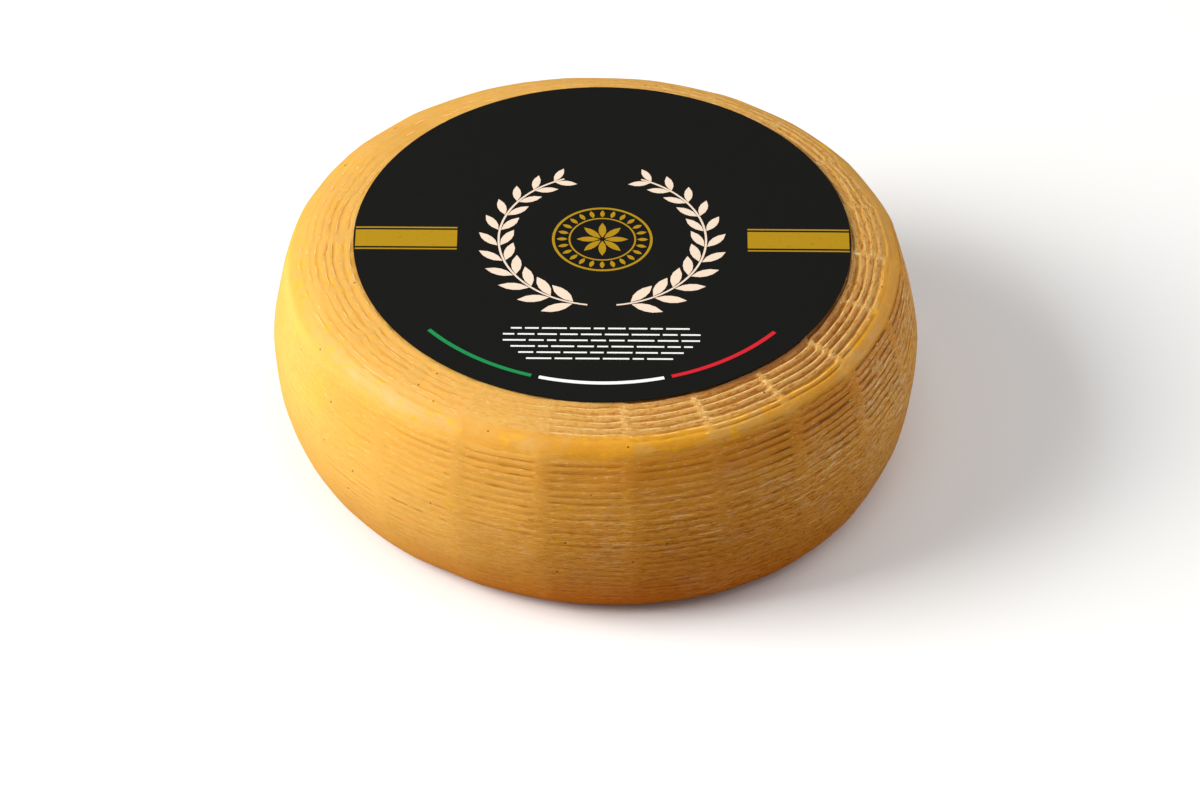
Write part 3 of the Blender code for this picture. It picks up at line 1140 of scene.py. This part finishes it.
# %% The wreath of two sprigs
SPRIG_RADIUS = 35.0
SPRIG_START = radians(-98)
SPRIG_END = radians(-248)
STEM_WIDTH = 0.7
STEM_STEPS = 40
LEAF_PAIRS = 11
FIRST_LEAF_LENGTH = 11.5
LEAVES_SHORTEN_BY = 4.0
LEAF_WIDTH_SHARE = 0.34
LEAF_LEAN = 0.62
# How far from the stem a leaf's middle is, as a share of its length
LEAF_REACH = 0.58


def lay_sprig(bm, side):
    """One leafy sprig along a part of a circle. The side is 1 for the left and -1 for the right."""
    mirror = Matrix.Diagonal((side, 1, 1, 1))
    for pair in range(LEAF_PAIRS):
        share = (pair + 0.5) / LEAF_PAIRS
        angle = SPRIG_START + (SPRIG_END - SPRIG_START) * share
        length = FIRST_LEAF_LENGTH - LEAVES_SHORTEN_BY * share
        reach = LEAF_REACH * length
        for lean in (LEAF_LEAN, -LEAF_LEAN):
            heading = angle - pi / 2 + lean
            x = SPRIG_RADIUS * cos(angle) + reach * cos(heading)
            y = SPRIG_RADIUS * sin(angle) + reach * sin(heading)
            lay_leaf(bm, length, LEAF_WIDTH_SHARE * length, mirror @ turned(heading, x, y))


def make_wreath():
    bm = bmesh.new()
    for side in (1, -1):
        lay_sprig(bm, side)
    for start, end in ((SPRIG_START, SPRIG_END), (pi - SPRIG_START, pi - SPRIG_END)):
        lay_arc(bm, SPRIG_RADIUS - STEM_WIDTH / 2, STEM_WIDTH, start, end, STEM_STEPS)
    ink_piece("print_cream_wreath", bm, inks["cream"])


make_wreath()

# %% [markdown]
# The gold print is a round rosette in the wreath's middle and a broad stripe to each side, with
# a thin line along both of its edges. The stripes are cut into short parts, so that they follow
# the paper where its rim droops.

# %% The gold rosette and the gold stripes
ROSETTE_RADIUS = 17.0
STRIPE_ENDS = (49, 83.3)
STRIPE_HALF = 4.4
STRIPE_PARTS = 24
LINE_WIDTH = 0.7
LINE_GAP = 0.9


def lay_ring(bm, inset, width, steps):
    """A whole ring, at a distance in from the rosette's rim."""
    lay_arc(bm, ROSETTE_RADIUS - inset, width, 0, tau, steps)


def lay_petals(bm, count, length, width, reach):
    """A ring of leaves that point away from the middle."""
    for petal in range(count):
        angle = tau * petal / count
        lay_leaf(bm, length, width, turned(angle, reach * cos(angle), reach * sin(angle)))


def make_gold():
    bm = bmesh.new()
    lay_ring(bm, inset=0.9, width=0.9, steps=72)
    lay_ring(bm, inset=6.2, width=0.6, steps=60)
    lay_petals(bm, count=24, length=3.8, width=1.6, reach=ROSETTE_RADIUS - 3.4)
    lay_petals(bm, count=8, length=8.0, width=2.6, reach=4.8)
    outer_line = STRIPE_HALF + LINE_GAP
    for side in (-1, 1):
        left, right = sorted(side * end for end in STRIPE_ENDS)
        lay_bar(bm, left, right, -STRIPE_HALF, STRIPE_HALF, STRIPE_PARTS)
        for front in (-outer_line - LINE_WIDTH, outer_line):
            lay_bar(bm, left, right, front, front + LINE_WIDTH, STRIPE_PARTS)
    ink_piece("print_gold", bm, inks["gold"])


make_gold()

# %% [markdown]
# Three arcs near the front rim, in green, white and red, are short ends spun along a part of a
# circle. Above them lie rows of short pale dashes in the place of small print. Their lengths are
# drawn at random from a seeded generator, so that they look set rather than ruled.

# %% The three-coloured arc and the pale rules
ARC_RADIUS = 74.0
ARC_WIDTH = 1.5
ARC_STEPS = 24
# Where each arc starts, and how long it is, in degrees round the label
ARC_STARTS = {"green": -140, "white": -106, "red": -72}
ARC_SPAN = 32
RULE_ROWS = 6
FIRST_RULE = -46.5
RULE_PITCH = 3.1
RULE_WIDTH = 0.75
WIDEST_ROW = 1.5
WIDEST_HALF = 34
ROWS_NARROW_BY = 2.6
DASH_LENGTHS = (3.0, 9.5)
DASH_GAP = 1.1


def make_arc(colour, start):
    bm = bmesh.new()
    lay_arc(bm, ARC_RADIUS, ARC_WIDTH, radians(start), radians(start + ARC_SPAN), ARC_STEPS)
    ink_piece(f"print_{colour}_arc", bm, inks[colour])


def make_rules():
    """Rows of short pale dashes, centred."""
    bm = bmesh.new()
    lengths = np.random.default_rng(3)
    for row in range(RULE_ROWS):
        back = FIRST_RULE - row * RULE_PITCH
        half = WIDEST_HALF - ROWS_NARROW_BY * abs(row - WIDEST_ROW)
        left = -half
        while left < half - 1:
            right = min(left + lengths.uniform(*DASH_LENGTHS), half)
            lay_bar(bm, left, right, back - RULE_WIDTH, back)
            left = right + DASH_GAP
    ink_piece("print_pale_rules", bm, inks["white"])


for colour, start in ARC_STARTS.items():
    make_arc(colour, start)
make_rules()

# %% [markdown]
# ## Floor, light and camera
#
# The cheese stands on a plain pale floor. The floor looks white to the camera, but it gives back
# a dimmer, warmer light. A floor that is white for every ray would wash out the gold of the
# wheel's foot, and a darker one would spoil the plain background.

# %% Floor
FLOOR_WHITE = screen(250, 250, 250)
FLOOR_BOUNCE = screen(158, 114, 68)
FLOOR_SIZE = 6.0


def make_floor():
    bm = bmesh.new()
    bmesh.ops.create_grid(bm, x_segments=1, y_segments=1, size=FLOOR_SIZE)
    material, tree, shader = new_material("floor paint")
    seen = add_node(tree, "ShaderNodeLightPath").outputs["Is Camera Ray"]
    paint = mix_colours(tree, seen, FLOOR_BOUNCE, FLOOR_WHITE)
    set_inputs(tree, shader, {"Base Color": paint, "Roughness": 0.7, "Specular IOR Level": 0.2})
    floor = make_object("floor", bm, material)


make_floor()

# %% [markdown]
# The light is plain studio light: one big soft window from the left, a little behind, a weak
# ceiling that lifts the front, a pale far wall on the right that keeps the shaded side open, and
# an even, pale room round it all.

# %% Lights
AIM = Vector((0, 0, 40 * MM))
ROOM_STRENGTH = 0.26
WHITE = (1.0, 1.0, 1.0)
# Each light, as its name, compass angle, height angle, distance, size, watts and colour
LIGHTS = (
    ("window", -170, 34, 1.8, 1.1, 46.4, (1.0, 0.985, 0.95)),
    ("ceiling", -60, 72, 1.5, 0.9, 4, WHITE),
    ("far_wall", 18, 20, 1.6, 1.4, 10, WHITE),
)


def around_wheel(azimuth, elevation, distance):
    """A place given by its compass angle, its height angle and its distance from the wheel."""
    azimuth, elevation = radians(azimuth), radians(elevation)
    level = cos(elevation)
    return AIM + distance * Vector((cos(azimuth) * level, sin(azimuth) * level, sin(elevation)))


def add_light(name, place, size, watts, colour):
    """A soft square light that faces the wheel."""
    data = bpy.data.lights.new(name, "AREA")
    data.shape = "SQUARE"
    data.size = size
    data.energy = watts
    data.color = colour
    light = add_object(name, data)
    light.location = place
    light.rotation_euler = (place - AIM).to_track_quat("Z", "Y").to_euler()


def set_room(strength):
    world = bpy.data.worlds.new("pale room")
    world.use_nodes = True
    background = world.node_tree.nodes["Background"]
    set_inputs(world.node_tree, background, {"Color": (*WHITE, 1.0), "Strength": strength})
    bpy.context.scene.world = world


for name, azimuth, elevation, distance, *rest in LIGHTS:
    add_light(name, around_wheel(azimuth, elevation, distance), *rest)
set_room(ROOM_STRENGTH)

# %% [markdown]
# The camera is a long lens that looks down at the wheel by about 40 degrees. Its place is
# given from the label's middle, because it was found from how round the label looks.

# %% Camera
CAMERA_FROM_LABEL = Vector((-0.42 * MM, -1571.39 * MM, 1356.77 * MM))
LENS = 180
SENSOR_WIDTH = 36
LOOK_DOWN = radians(40.63)
ROLL = radians(0.39)


def add_camera():
    data = bpy.data.cameras.new("camera")
    data.lens = LENS
    data.sensor_width = SENSOR_WIDTH
    camera = add_object("camera", data)
    turn = Matrix.Rotation(pi / 2 - LOOK_DOWN, 4, "X") @ Matrix.Rotation(ROLL, 4, "Z")
    camera.matrix_world = Matrix.Translation(label_middle + CAMERA_FROM_LABEL) @ turn
    bpy.context.scene.camera = camera


add_camera()
bpy.context.scene.view_settings.view_transform = "Standard"
